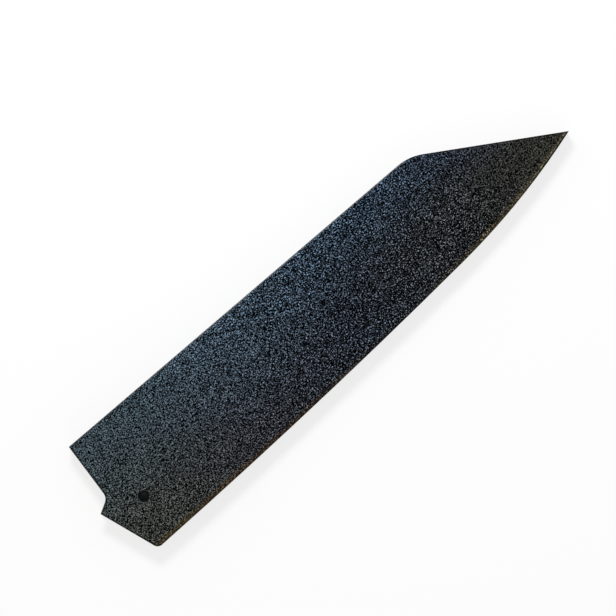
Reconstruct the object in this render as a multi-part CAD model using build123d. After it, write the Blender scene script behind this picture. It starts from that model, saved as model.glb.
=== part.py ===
from build123d import *
from math import radians, sin, tan
import os

# Three-ply wooden sheath for a chef's knife with a clipped point.
# Two face boards hold three core strips between them. The strips leave a slot with the blade's outline,
# open at the mouth, and a tapered peg crosses the slot behind the blade's heel.
# The outline is drawn with its origin where the mouth meets the spine: X runs along the spine to the
# point, Y away from the cutting edge, and Z out of the front face. Lengths are in millimetres.

# Outline along the spine and the clipped point
shoulder_from_mouth = 183.4
clip_run = 56.8
clip_angle = 31.53
shoulder_radius = 21.0

# Outline along the cutting edge: a long shallow arc, then the belly's closer one
heel_from_mouth = 1.0
heel_depth = 55.4
heel_radius = 2.8
belly_from_mouth = 172.5
belly_depth = 47.45
edge_bow = 1.22

# Outline of the mouth, where a lug reaches back behind the blade's heel
notch_set_back = 1.7
notch_depth = 25.9
notch_radius = 4.0
lug_reach = 8.0
lug_depth = 29.4

# Plies, and the glued wall round the slot
board_thickness = 3.3
slot_gap = 4.4
wall = 4.2
slot_point_radius = 2.0

# Worked edges
outer_round = 0.9
throat_chamfer = 0.8

# Peg: its broad end lies a little below the front face
peg_from_mouth = 10.3
peg_from_spine = 35.4
peg_top_diameter = 4.3
peg_half_taper = 1.4
peg_below_front = 0.8
peg_above_back = 0.3
peg_dome = 0.3
peg_foot_chamfer = 0.3
peg_clearance = 0.03
hole_ease = 0.25

# How far every cutting shape runs past what it cuts
overrun = 5.0

thickness = board_thickness + slot_gap + board_thickness
point_from_mouth = shoulder_from_mouth + clip_run
point_depth = clip_run * tan(radians(clip_angle))

mouth_corner = Vector(0, 0)
shoulder = Vector(shoulder_from_mouth, 0)
point = Vector(point_from_mouth, -point_depth)
belly = Vector(belly_from_mouth, -belly_depth)
heel = Vector(heel_from_mouth, -heel_depth)
lug = Vector(-lug_reach, -lug_depth)
notch = Vector(-notch_set_back, -notch_depth)
peg_place = Vector(peg_from_mouth, -peg_from_spine)


def round_corner(face, corner, radius):
    """The face with the corner nearest the given point rounded."""
    return fillet(face.vertices().sort_by_distance(corner)[0], radius)


# Spine, clip and cutting edge are the sides that follow the blade
spine_line = Line(mouth_corner, shoulder)
clip_line = Line(shoulder, point)
edge_arc = SagittaArc(heel, belly, -edge_bow)
belly_arc = TangentArc(belly, point, tangent=edge_arc % 1)
blade_sides = [spine_line, clip_line, belly_arc, edge_arc]

outline = make_face(blade_sides + [Polyline(heel, lug, notch, mouth_corner)])
outline = round_corner(outline, shoulder, shoulder_radius)
outline = round_corner(outline, heel, heel_radius)
outline = round_corner(outline, notch, notch_radius)

# The slot is the same outline run on past the mouth, then drawn in by the wall
run_out = lug_reach + wall + overrun
behind_heel = heel - (edge_arc % 0) * run_out
behind_mouth = mouth_corner - Vector(run_out, 0)
slot = make_face(blade_sides + [Polyline(heel, behind_heel, behind_mouth, mouth_corner)])
slot = round_corner(slot, shoulder, shoulder_radius)
slot = offset(slot, -wall)
slot = round_corner(slot, point, slot_point_radius)

# Mitres halve the corners at the shoulder and at the point
shoulder_mitre = Vector(tan(radians(clip_angle) / 2), 1)
clip_back = (shoulder - point).normalized()
belly_back = (belly_arc % 1) * -1
point_mitre = (clip_back + belly_back).normalized()
point_mitre_length = wall / sin(radians(clip_back.get_angle(belly_back)) / 2)
shoulder_out = shoulder + shoulder_mitre * overrun
shoulder_in = shoulder - shoulder_mitre * (wall + overrun)
point_out = point - point_mitre * overrun
point_in = point + point_mitre * (point_mitre_length + overrun)
spine_zone = Polyline(
    (-run_out, overrun), shoulder_out, shoulder_in, (-run_out, -wall - overrun), close=True
)
point_zone = Polyline(shoulder_out, point_out, point_in, shoulder_in, close=True)

core = outline - slot
spine_plan = core & make_face(spine_zone)
point_plan = core & make_face(point_zone)
edge_plan = core - spine_plan - point_plan


def core_strip(plan):
    """A strip of the middle ply, as thick as the slot is wide."""
    return Pos(0, 0, board_thickness) * extrude(plan, slot_gap)


# The front board is drawn with its glued face down. Its outer arrises are rounded all round.
board = extrude(outline, board_thickness)
board = fillet(board.edges().group_by(Axis.Z)[-1], outer_round)

# The throat is filed between the strips alone, to lead the blade in
mouth_ends = [(heel + lug) / 2, (lug + notch) / 2, (notch + mouth_corner) / 2]
glued_edges = board.edges().group_by(Axis.Z)[0]
mouth_edges = [glued_edges.sort_by_distance(end)[0] for end in mouth_ends]
filed_board = chamfer(mouth_edges, throat_chamfer)
board -= (board - filed_board) & extrude(slot, board_thickness)

front_board = Pos(0, 0, board_thickness + slot_gap) * board
back_board = mirror(front_board, about=Plane.XY.offset(thickness / 2))

# The peg is turned to one taper from its broad end down
peg_top = thickness - peg_below_front
peg_slope = tan(radians(peg_half_taper))


def peg_radius(height):
    """The peg's radius at a height above the back face, run on past both its ends."""
    return peg_top_diameter / 2 - (peg_top - height) * peg_slope


dome_rim = peg_top - peg_dome
foot_rim = peg_above_back + peg_foot_chamfer
dome_arc = TangentArc((0, peg_top), (peg_radius(dome_rim), dome_rim), tangent=(1, 0))
peg_side = Polyline(
    (peg_radius(dome_rim), dome_rim),
    (peg_radius(foot_rim), foot_rim),
    (peg_radius(foot_rim) - peg_foot_chamfer, peg_above_back),
    (0, peg_above_back),
    (0, peg_top),
)
retaining_peg = Pos(peg_place) * revolve(Plane.XZ * make_face([dome_arc, peg_side]), Axis.Z)

# The hole is reamed through both boards to the peg's own taper, with its rims eased
hole_foot = -overrun
hole_top = thickness + overrun
hole = Pos(peg_place) * Pos(0, 0, hole_foot) * Cone(
    peg_radius(hole_foot) + peg_clearance,
    peg_radius(hole_top) + peg_clearance,
    hole_top - hole_foot,
    align=(Align.CENTER, Align.CENTER, Align.MIN),
)


def drill(ply, face_height):
    """The board with the peg hole through it and the hole's rim eased on the outer face."""
    drilled = ply - hole
    circles = drilled.edges().filter_by(GeomType.CIRCLE)
    rim = circles.sort_by_distance(peg_place + Vector(0, 0, face_height))[0]
    return chamfer(rim, hole_ease)


pieces = {
    "front_board": drill(front_board, thickness),
    "back_board": drill(back_board, 0),
    "spine_strip": core_strip(spine_plan),
    "point_strip": core_strip(point_plan),
    "edge_strip": core_strip(edge_plan),
    "retaining_peg": retaining_peg,
}

# The part stands on its back face, with its origin under the middle of the outline
middle = outline.bounding_box().center()
os.makedirs("parts", exist_ok=True)
for name, piece in pieces.items():
    export_step(Pos(-middle.X, -middle.Y, 0) * piece, f"parts/{name}.step")
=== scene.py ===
import bpy
from math import cos, radians, sin
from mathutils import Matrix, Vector


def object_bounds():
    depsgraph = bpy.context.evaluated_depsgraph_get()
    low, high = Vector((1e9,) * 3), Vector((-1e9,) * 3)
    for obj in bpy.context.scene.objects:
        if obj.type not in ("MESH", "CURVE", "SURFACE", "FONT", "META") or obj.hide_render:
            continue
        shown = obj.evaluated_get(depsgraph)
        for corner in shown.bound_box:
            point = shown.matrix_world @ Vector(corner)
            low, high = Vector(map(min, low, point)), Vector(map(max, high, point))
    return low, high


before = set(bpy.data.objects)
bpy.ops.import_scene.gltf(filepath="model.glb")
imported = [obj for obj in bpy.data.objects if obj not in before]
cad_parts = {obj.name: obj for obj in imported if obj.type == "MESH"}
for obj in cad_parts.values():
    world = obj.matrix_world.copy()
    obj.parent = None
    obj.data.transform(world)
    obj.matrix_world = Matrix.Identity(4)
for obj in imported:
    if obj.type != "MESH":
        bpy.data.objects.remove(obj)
cad_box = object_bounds()


# The two face boards and the three core strips are thin magnolia, glued up flush and then lacquered
# on the outside. The coat is black, full of fine blue-grey grit like dressed stone, its pale grains partly
# painted glints. Its colour carries a painted sheen, lighter and bluer along the spine, and painted shade
# towards the edge and the point. It thins to a brown ground along the cutting edge. Painted shade darkens the
# arrises, and a pale painted highlight lies along the spine's arris. What faces the slot is bare wood.
MM = 0.001
SHEATH_MIDDLE_FROM_MOUTH = 116.1
POINT_FROM_MOUTH = 240.2
SPINE_Y = 27.68
WIDTH = 55.36
JOINT_LEVELS = (3.3, 7.7)
# Cutting edge: two arcs that meet at the belly, given by their centres and radii
BELLY_X = 56.4
EDGE_ARC = (-169.2, 2992.4, 0.0)
EDGE_RADIUS = 3020.6
BELLY_ARC = (32.8, 295.1, 0.0)
BELLY_RADIUS = 315.7

# Below, two values in brackets say where a change starts and ends, and four add what it goes from and to.

# Grit, its pale grains partly painted glints. The last three say how steeply its grains stand out along the
# sheath and across it.
GRAIN_SIZE = 0.50
GRAIN_TILT = (0.6, 0.5, 0.3)
GRAIN_DISTORTION = 0.4
GRAIN_COVER = 0.33
GRAIN_CONTRAST = 5.2
GRIT_AND_GLINT_BRIGHTNESS = 2.2
GRAIN_ROUGHNESS = (0.35, 0.65, 0.22, 0.40)
GRAIN_DEPTH = 0.06
RELIEF_STRENGTH = 0.35
CLOUD_SIZE = 7.0
CLOUD_SHADING = (0.2, 0.8, 0.88, 1.12)
STEEPER_ALONG = (0.10, 0.55, 1.0, 2.3)
SOFTER_AT_POINT = (0.75, 0.90, 0.0, 1.4)
STEEPER_ACROSS = (0.0, 0.8, 0.88, 1.12)

# Lacquer tones from the mouth to the point, where the coat runs along the spine and along the edge. Beside
# the coat's own black they hold a painted sheen, lighter and bluer along the spine, and painted shade, darker
# towards the edge and the point.
SPINE_TONES_AND_PAINTED_SHEEN = [
    (0.05, (0.038, 0.055, 0.065, 1.0)),
    (0.30, (0.041, 0.061, 0.083, 1.0)),
    (0.65, (0.027, 0.043, 0.064, 1.0)),
    (0.90, (0.022, 0.028, 0.043, 1.0)),
]
EDGE_TONES_AND_PAINTED_SHADE = [
    (0.05, (0.039, 0.042, 0.037, 1.0)),
    (0.25, (0.029, 0.031, 0.037, 1.0)),
    (0.50, (0.020, 0.025, 0.034, 1.0)),
    (0.95, (0.024, 0.024, 0.020, 1.0)),
]
# Where across the face the painted sheen starts to give way to painted shade, and how far it goes on, nearer
# the mouth and the point
TONE_START = -0.05
TONE_REACH = (0.30, 0.60, 0.95, 0.55)

# Brown ground: how far it shows through at the edge, and its tones from the mouth to the point
GROUND_SMOOTHNESS = 0.35
GROUND_INSET = (2.8, 1.0, 0.0, 0.85)
GROUND_FADES = (0.40, 0.58, 1.0, 0.15)
GROUND_RETURNS = (0.58, 0.80, 0.0, 0.95)
GROUND_TONES = [
    (0.08, (0.059, 0.042, 0.019, 1.0)),
    (0.17, (0.048, 0.028, 0.014, 1.0)),
    (0.40, (0.023, 0.018, 0.014, 1.0)),
    (0.82, (0.058, 0.048, 0.029, 1.0)),
    (0.93, (0.042, 0.036, 0.022, 1.0)),
]

# Towards the point the coat is worn to a pale line just inside the arris, and the arris itself stays dark
# with painted shade
WORN_ALONG = (0.82, 0.93)
WORN_INSET = 0.95
WORN_LINE = (0.50, 0.05)
WORN_TONE = (0.105, 0.092, 0.063, 1.0)

# Arrises, told by how far the surface still faces outwards: darkened with painted shade, and a pale painted
# highlight along the spine's arris
ARRIS_FACING = (0.15, 0.95)
ARRIS_PAINTED_SHADE = 0.6
SPINE_HIGHLIGHT_INSET = (1.2, 0.2)
SPINE_HIGHLIGHT_ALONG = (0.0, 0.3, 0.35, 1.0)
SPINE_HIGHLIGHT_GRAINS = (0.3, 0.6)
SPINE_HIGHLIGHT_GREY = (0.150, 0.172, 0.195, 1.0)

# Lines where the plies meet, sheen of the coat, and bare wood
JOINT_LINE = (0.16, 0.02)
LACQUER_SHEEN = 0.03
BARE_FACING = -0.3
BARE_ROUGHNESS = 0.75
STREAK_SCALE = 1.6
STREAK_STRETCH = 0.015
STREAK_CONTRAST = (0.3, 0.7)
MAGNOLIA_DARK = (0.42, 0.33, 0.18, 1.0)
MAGNOLIA_PALE = (0.60, 0.50, 0.31, 1.0)


class Shade:
    """A socket in a material's nodes, on which shader maths is written as plain arithmetic."""

    def __init__(self, tree, socket=None):
        self.tree = tree
        self.socket = socket

    def node(self, kind, settings=None, sockets=None, output=0):
        """Adds a node, sets it up, gives its sockets values or links, and returns its output."""
        made = self.tree.nodes.new(kind)
        for name, value in (settings or {}).items():
            if name == "stops":
                stops = made.color_ramp.elements
                stops.remove(stops[1])
                stops[0].position, stops[0].color = value[0]
                for place, colour in value[1:]:
                    stops.new(place).color = colour
            else:
                setattr(made, name, value)
        for name, value in (sockets or {}).items():
            self.join(value, made.inputs[name])
        return Shade(self.tree, made.outputs[output])

    def join(self, value, socket):
        """Links a shade to a socket, or sets a plain value on it."""
        if isinstance(value, Shade):
            self.tree.links.new(value.socket, socket)
        else:
            socket.default_value = value

    def maths(self, operation, first, second=0.0):
        return self.node("ShaderNodeMath", {"operation": operation}, {0: first, 1: second})

    def vector_maths(self, operation, first, second):
        """The number that comes from two vectors, such as a dot product or a distance."""
        return self.node(
            "ShaderNodeVectorMath", {"operation": operation}, {0: first, 1: second}, output="Value"
        )

    def ease(self, start, end, low=0.0, high=1.0):
        """Goes smoothly from low to high while this goes from start to end."""
        return self.node("ShaderNodeMapRange", {"interpolation_type": "SMOOTHSTEP"}, {
            "Value": self, "From Min": start, "From Max": end, "To Min": low, "To Max": high,
        })

    def ramp(self, stops):
        """The colour that the stops give for this."""
        return self.node("ShaderNodeValToRGB", {"stops": stops}, {0: self})

    def blend(self, first, second):
        """The first colour where this is 0, the second where it is 1."""
        return self.node("ShaderNodeMix", {"data_type": "RGBA"}, {0: self, 6: first, 7: second}, output=2)

    def __add__(self, other):
        return self.maths("ADD", self, other)

    def __radd__(self, other):
        return self.maths("ADD", other, self)

    def __sub__(self, other):
        return self.maths("SUBTRACT", self, other)

    def __rsub__(self, other):
        return self.maths("SUBTRACT", other, self)

    def __mul__(self, other):
        return self.maths("MULTIPLY", self, other)

    def __rmul__(self, other):
        return self.maths("MULTIPLY", other, self)

    def __truediv__(self, other):
        return self.maths("DIVIDE", self, other)

    def __rtruediv__(self, other):
        return self.maths("DIVIDE", other, self)

    def __pow__(self, other):
        return self.maths("POWER", self, other)

    def __rpow__(self, other):
        return self.maths("POWER", other, self)

    def __gt__(self, other):
        return self.maths("GREATER_THAN", self, other)

    def __lt__(self, other):
        return self.maths("LESS_THAN", self, other)


def blank_material(name):
    """A new material, with a shade to build its nodes from and its shader's inputs."""
    material = bpy.data.materials.new(name)
    material.use_nodes = True
    return material, Shade(material.node_tree), material.node_tree.nodes["Principled BSDF"].inputs


def lacquered_ply(name, outward):
    """Lacquer on what faces outwards from the sheath, bare wood on what faces the slot."""
    material, draw, shader = blank_material(name)
    place = draw.node("ShaderNodeTexCoord", output="Object")
    millimetres = draw.node("ShaderNodeMapping", sockets={"Vector": place, "Scale": (1 / MM,) * 3})
    plan = draw.node("ShaderNodeMapping", sockets={"Vector": place, "Scale": (1 / MM, 1 / MM, 0.0)})
    x = draw.node("ShaderNodeSeparateXYZ", sockets={0: millimetres}, output="X")
    y = draw.node("ShaderNodeSeparateXYZ", sockets={0: millimetres}, output="Y")
    z = draw.node("ShaderNodeSeparateXYZ", sockets={0: millimetres}, output="Z")
    normal = draw.node("ShaderNodeTexCoord", output="Normal")
    upwards = draw.node("ShaderNodeSeparateXYZ", sockets={0: normal}, output="Z")
    facing = draw.vector_maths("DOT_PRODUCT", normal, outward)

    # How far a place lies along the sheath, across it, and in from the spine and the cutting edge
    along = (x + SHEATH_MIDDLE_FROM_MOUTH) / POINT_FROM_MOUTH
    spine_inset = SPINE_Y - y
    across = spine_inset / WIDTH
    past_belly = x > BELLY_X
    heel_part = EDGE_RADIUS - draw.vector_maths("DISTANCE", plan, EDGE_ARC)
    belly_part = BELLY_RADIUS - draw.vector_maths("DISTANCE", plan, BELLY_ARC)
    edge_inset = (1 - past_belly) * heel_part + past_belly * belly_part

    # Grit: pale grains that stand close together, with black pits between them; their brightness is partly
    # painted glints. The pattern is tilted, so that no face of the sheath lies along it.
    tilted = draw.node("ShaderNodeMapping", sockets={"Vector": millimetres, "Rotation": GRAIN_TILT})
    grains = draw.node("ShaderNodeTexNoise", sockets={
        "Vector": tilted, "Scale": 1 / GRAIN_SIZE, "Detail": 0.0, "Distortion": GRAIN_DISTORTION,
    })
    clouds = draw.node("ShaderNodeTexNoise", sockets={
        "Vector": millimetres, "Scale": 1 / CLOUD_SIZE, "Detail": 2.0, "Roughness": 0.6,
    })
    heap = draw.maths("MAXIMUM", GRAIN_COVER + GRAIN_CONTRAST * (grains - 0.5), 0.0)
    steepness = (along.ease(*STEEPER_ALONG) - along.ease(*SOFTER_AT_POINT)) * across.ease(*STEEPER_ACROSS)
    # The pale grains' brightness is partly painted glints
    grit_and_glints = GRIT_AND_GLINT_BRIGHTNESS * heap ** steepness * clouds.ease(*CLOUD_SHADING)

    # Colour of the coat with its painted sheen and painted shade, the brown ground along the edge, the
    # painted shade on the arrises and the painted highlight along the spine's arris
    # Painted sheen along the spine, giving way to painted shade towards the edge and the point
    towards_edge = across.ease(TONE_START, along.ease(*TONE_REACH))
    tone_and_painted_light = towards_edge.blend(along.ramp(SPINE_TONES_AND_PAINTED_SHEEN), along.ramp(EDGE_TONES_AND_PAINTED_SHADE))
    thin = edge_inset.ease(*GROUND_INSET) * (along.ease(*GROUND_FADES) + along.ease(*GROUND_RETURNS))
    tone_and_painted_light = thin.blend(tone_and_painted_light, along.ramp(GROUND_TONES))
    at_point = along.ease(*WORN_ALONG)
    worn = at_point * draw.maths("ABSOLUTE", edge_inset - WORN_INSET).ease(*WORN_LINE)
    tone_and_painted_light = worn.blend(tone_and_painted_light, WORN_TONE)
    grit_and_glints = grit_and_glints + GROUND_SMOOTHNESS * thin * (1 - grit_and_glints)
    arris = (facing > ARRIS_FACING[0]) * (facing < ARRIS_FACING[1])
    # Painted shade darkens the arrises
    arris_in_painted_shade = 1 - ARRIS_PAINTED_SHADE * arris * (1 - thin * (1 - at_point))
    coat = draw.node("ShaderNodeVectorMath", {"operation": "SCALE"}, {0: tone_and_painted_light, "Scale": grit_and_glints * arris_in_painted_shade})
    # A pale painted highlight along the spine's arris, broken up by the grains
    painted_spine_highlight = arris * spine_inset.ease(*SPINE_HIGHLIGHT_INSET) * along.ease(*SPINE_HIGHLIGHT_ALONG) * grains.ease(*SPINE_HIGHLIGHT_GRAINS)
    lacquer = painted_spine_highlight.blend(coat, SPINE_HIGHLIGHT_GREY)

    # Bare magnolia: pale, close and straight grained, with darker streaks
    lengthwise = draw.node("ShaderNodeMapping", sockets={
        "Vector": millimetres, "Scale": (STREAK_STRETCH, 1.0, 1.0),
    })
    streaks = draw.node("ShaderNodeTexNoise", sockets={
        "Vector": lengthwise, "Scale": STREAK_SCALE, "Detail": 4.0, "Roughness": 0.6,
    })
    magnolia = streaks.ease(*STREAK_CONTRAST).blend(MAGNOLIA_DARK, MAGNOLIA_PALE)
    bare = facing < BARE_FACING
    draw.join(bare.blend(lacquer, magnolia), shader["Base Color"])

    # The coat is satin, dull on its grains. The plies' joints show as faint lines through it.
    gloss = grains.ease(*GRAIN_ROUGHNESS)
    draw.join((1 - bare) * gloss + bare * BARE_ROUGHNESS, shader["Roughness"])
    shader["Specular IOR Level"].default_value = LACQUER_SHEEN
    low_joint = draw.maths("ABSOLUTE", z - JOINT_LEVELS[0])
    high_joint = draw.maths("ABSOLUTE", z - JOINT_LEVELS[1])
    side = draw.maths("ABSOLUTE", upwards) < 0.5
    sunk = side * draw.maths("MINIMUM", low_joint, high_joint).ease(*JOINT_LINE)
    relief = (1 - bare) * (grains - sunk) + bare * streaks
    bump = draw.node("ShaderNodeBump", sockets={
        "Height": relief, "Strength": RELIEF_STRENGTH, "Distance": GRAIN_DEPTH * MM,
    })
    draw.join(bump, shader["Normal"])
    return material


for node, outward in {
    "front_board": (0.0, 0.0, 1.0),
    "back_board": (0.0, 0.0, -1.0),
    "spine_strip": (0.0, 1.0, 0.0),
    "point_strip": (0.52, 0.85, 0.0),
    "edge_strip": (0.0, -1.0, 0.0),
}.items():
    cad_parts[node].data.materials[0] = lacquered_ply(node + "_finish", outward)


# The peg is a turned sliver of close black wood, rubbed to a slight sheen and pushed home by hand
# until its broad end lies a little below the face.
EBONY_DARK = (0.001, 0.001, 0.001, 1.0)
EBONY_GREY = (0.004, 0.008, 0.008, 1.0)
FIBRE_STRETCH = 0.12
PORE_SCALE = 3.2
PORE_DEPTH = 0.04
PORE_RELIEF = 0.3
PORE_CONTRAST = (0.3, 0.7)
PORE_ROUGHNESS = (0.3, 0.7, 0.5, 0.34)
PEG_SHEEN = 0.12
peg_wood, draw, shader = blank_material("peg_wood")
place = draw.node("ShaderNodeTexCoord", output="Object")
fibre = draw.node("ShaderNodeMapping", sockets={
    "Vector": place, "Scale": (1 / MM, 1 / MM, FIBRE_STRETCH / MM),
})
pores = draw.node("ShaderNodeTexNoise", sockets={
    "Vector": fibre, "Scale": PORE_SCALE, "Detail": 3.0, "Roughness": 0.65,
})
draw.join(pores.ease(*PORE_CONTRAST).blend(EBONY_DARK, EBONY_GREY), shader["Base Color"])
draw.join(pores.ease(*PORE_ROUGHNESS), shader["Roughness"])
shader["Specular IOR Level"].default_value = PEG_SHEEN
bump = draw.node("ShaderNodeBump", sockets={
    "Height": pores, "Strength": PORE_RELIEF, "Distance": PORE_DEPTH * MM,
})
draw.join(bump, shader["Normal"])
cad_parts["retaining_peg"].data.materials[0] = peg_wood


# The sheath lies on plain white paper. The camera and the lacquer's sheen see the paper at its full
# white, and the sheath's shadow stays on it.
PAPER_SIZE = 12.0
PAPER_BELOW = 0.1
PAPER_SHADED = 0.23
PAPER_GLOW = 0.771
PAPER_PLAIN = (0.8, 0.8, 0.8, 1.0)
bpy.ops.object.select_all(action="DESELECT")
bpy.ops.mesh.primitive_plane_add(size=PAPER_SIZE, location=(0.0, 0.0, 0.0))
paper = bpy.context.object
paper.name = "paper_floor"
bpy.ops.object.mode_set(mode="EDIT")
bpy.ops.transform.translate(value=(0.0, 0.0, -PAPER_BELOW * MM))
bpy.ops.object.mode_set(mode="OBJECT")
paper_white = bpy.data.materials.new("paper_white")
paper_white.use_nodes = True
draw = Shade(paper_white.node_tree)
seen = draw.node("ShaderNodeLightPath", output="Is Camera Ray")
mirrored = draw.node("ShaderNodeLightPath", output="Is Glossy Ray")
through = draw.node("ShaderNodeLightPath", output="Is Transmission Ray")
direct = draw.maths("MAXIMUM", draw.maths("MAXIMUM", seen, mirrored), through)
shaded = draw.node("ShaderNodeBsdfDiffuse", sockets={"Color": (PAPER_SHADED,) * 3 + (1.0,)})
glow = draw.node("ShaderNodeEmission", sockets={"Color": (1.0, 1.0, 1.0, 1.0), "Strength": PAPER_GLOW})
white = draw.node("ShaderNodeAddShader", sockets={0: shaded, 1: glow})
plain = draw.node("ShaderNodeBsdfDiffuse", sockets={"Color": PAPER_PLAIN})
finish = draw.node("ShaderNodeMixShader", sockets={0: direct, 1: plain, 2: white})
draw.join(finish, paper_white.node_tree.nodes["Material Output"].inputs["Surface"])
paper.data.materials.append(paper_white)


# One soft lamp stands beyond the spine, towards the point. A plain room fills the rest, with white
# walls and a dim ceiling.
LAMP_SIZE = 0.26
LAMP_POWER = 6.6
LAMP_DISTANCE = 1.0
LAMP_HEIGHT = radians(55.0)
LAMP_TURN = radians(63.5)
WALLS = (1.05, 1.05, 1.05, 1.0)
CEILING = (0.15, 0.15, 0.15, 1.0)
lamp_data = bpy.data.lights.new("softbox", "AREA")
lamp_data.shape = "DISK"
lamp_data.size = LAMP_SIZE
lamp_data.energy = LAMP_POWER
lamp = bpy.data.objects.new("softbox", lamp_data)
bpy.context.scene.collection.objects.link(lamp)
towards_lamp = Vector((
    cos(LAMP_TURN) * cos(LAMP_HEIGHT),
    sin(LAMP_TURN) * cos(LAMP_HEIGHT),
    sin(LAMP_HEIGHT),
))
lamp.location = towards_lamp * LAMP_DISTANCE
lamp.rotation_euler = towards_lamp.to_track_quat("Z", "Y").to_euler()

room = bpy.data.worlds.new("room")
bpy.context.scene.world = room
room.use_nodes = True
draw = Shade(room.node_tree)
outlook = draw.node("ShaderNodeTexCoord", output="Generated")
height = draw.node("ShaderNodeSeparateXYZ", sockets={0: outlook}, output="Z")
walls = draw.maths("MAXIMUM", height, 0.0).blend(WALLS, CEILING)
draw.join(walls, room.node_tree.nodes["Background"].inputs["Color"])


# The camera looks straight down from far off, turned so that the spine climbs to the right. Its frame
# is the picture's width at the scale of the front face.
PICTURE_WIDTH = 616
PICTURE_SCALE = 0.41
PICTURE_CENTRE = (-4.46, 7.21)
CAMERA_TURN = radians(40.538)
CAMERA_LENS = 220.0
SENSOR = 36.0
camera_data = bpy.data.cameras.new("camera")
camera_data.lens = CAMERA_LENS
camera_data.sensor_width = SENSOR
camera = bpy.data.objects.new("camera", camera_data)
bpy.context.scene.collection.objects.link(camera)
bpy.context.scene.camera = camera
camera_distance = CAMERA_LENS / SENSOR * PICTURE_WIDTH * PICTURE_SCALE * MM
front_face = cad_box[1][2]
camera.location = (PICTURE_CENTRE[0] * MM, PICTURE_CENTRE[1] * MM, front_face + camera_distance)
camera.rotation_euler = (0.0, 0.0, -CAMERA_TURN)

bpy.context.scene.view_settings.view_transform = "Standard"
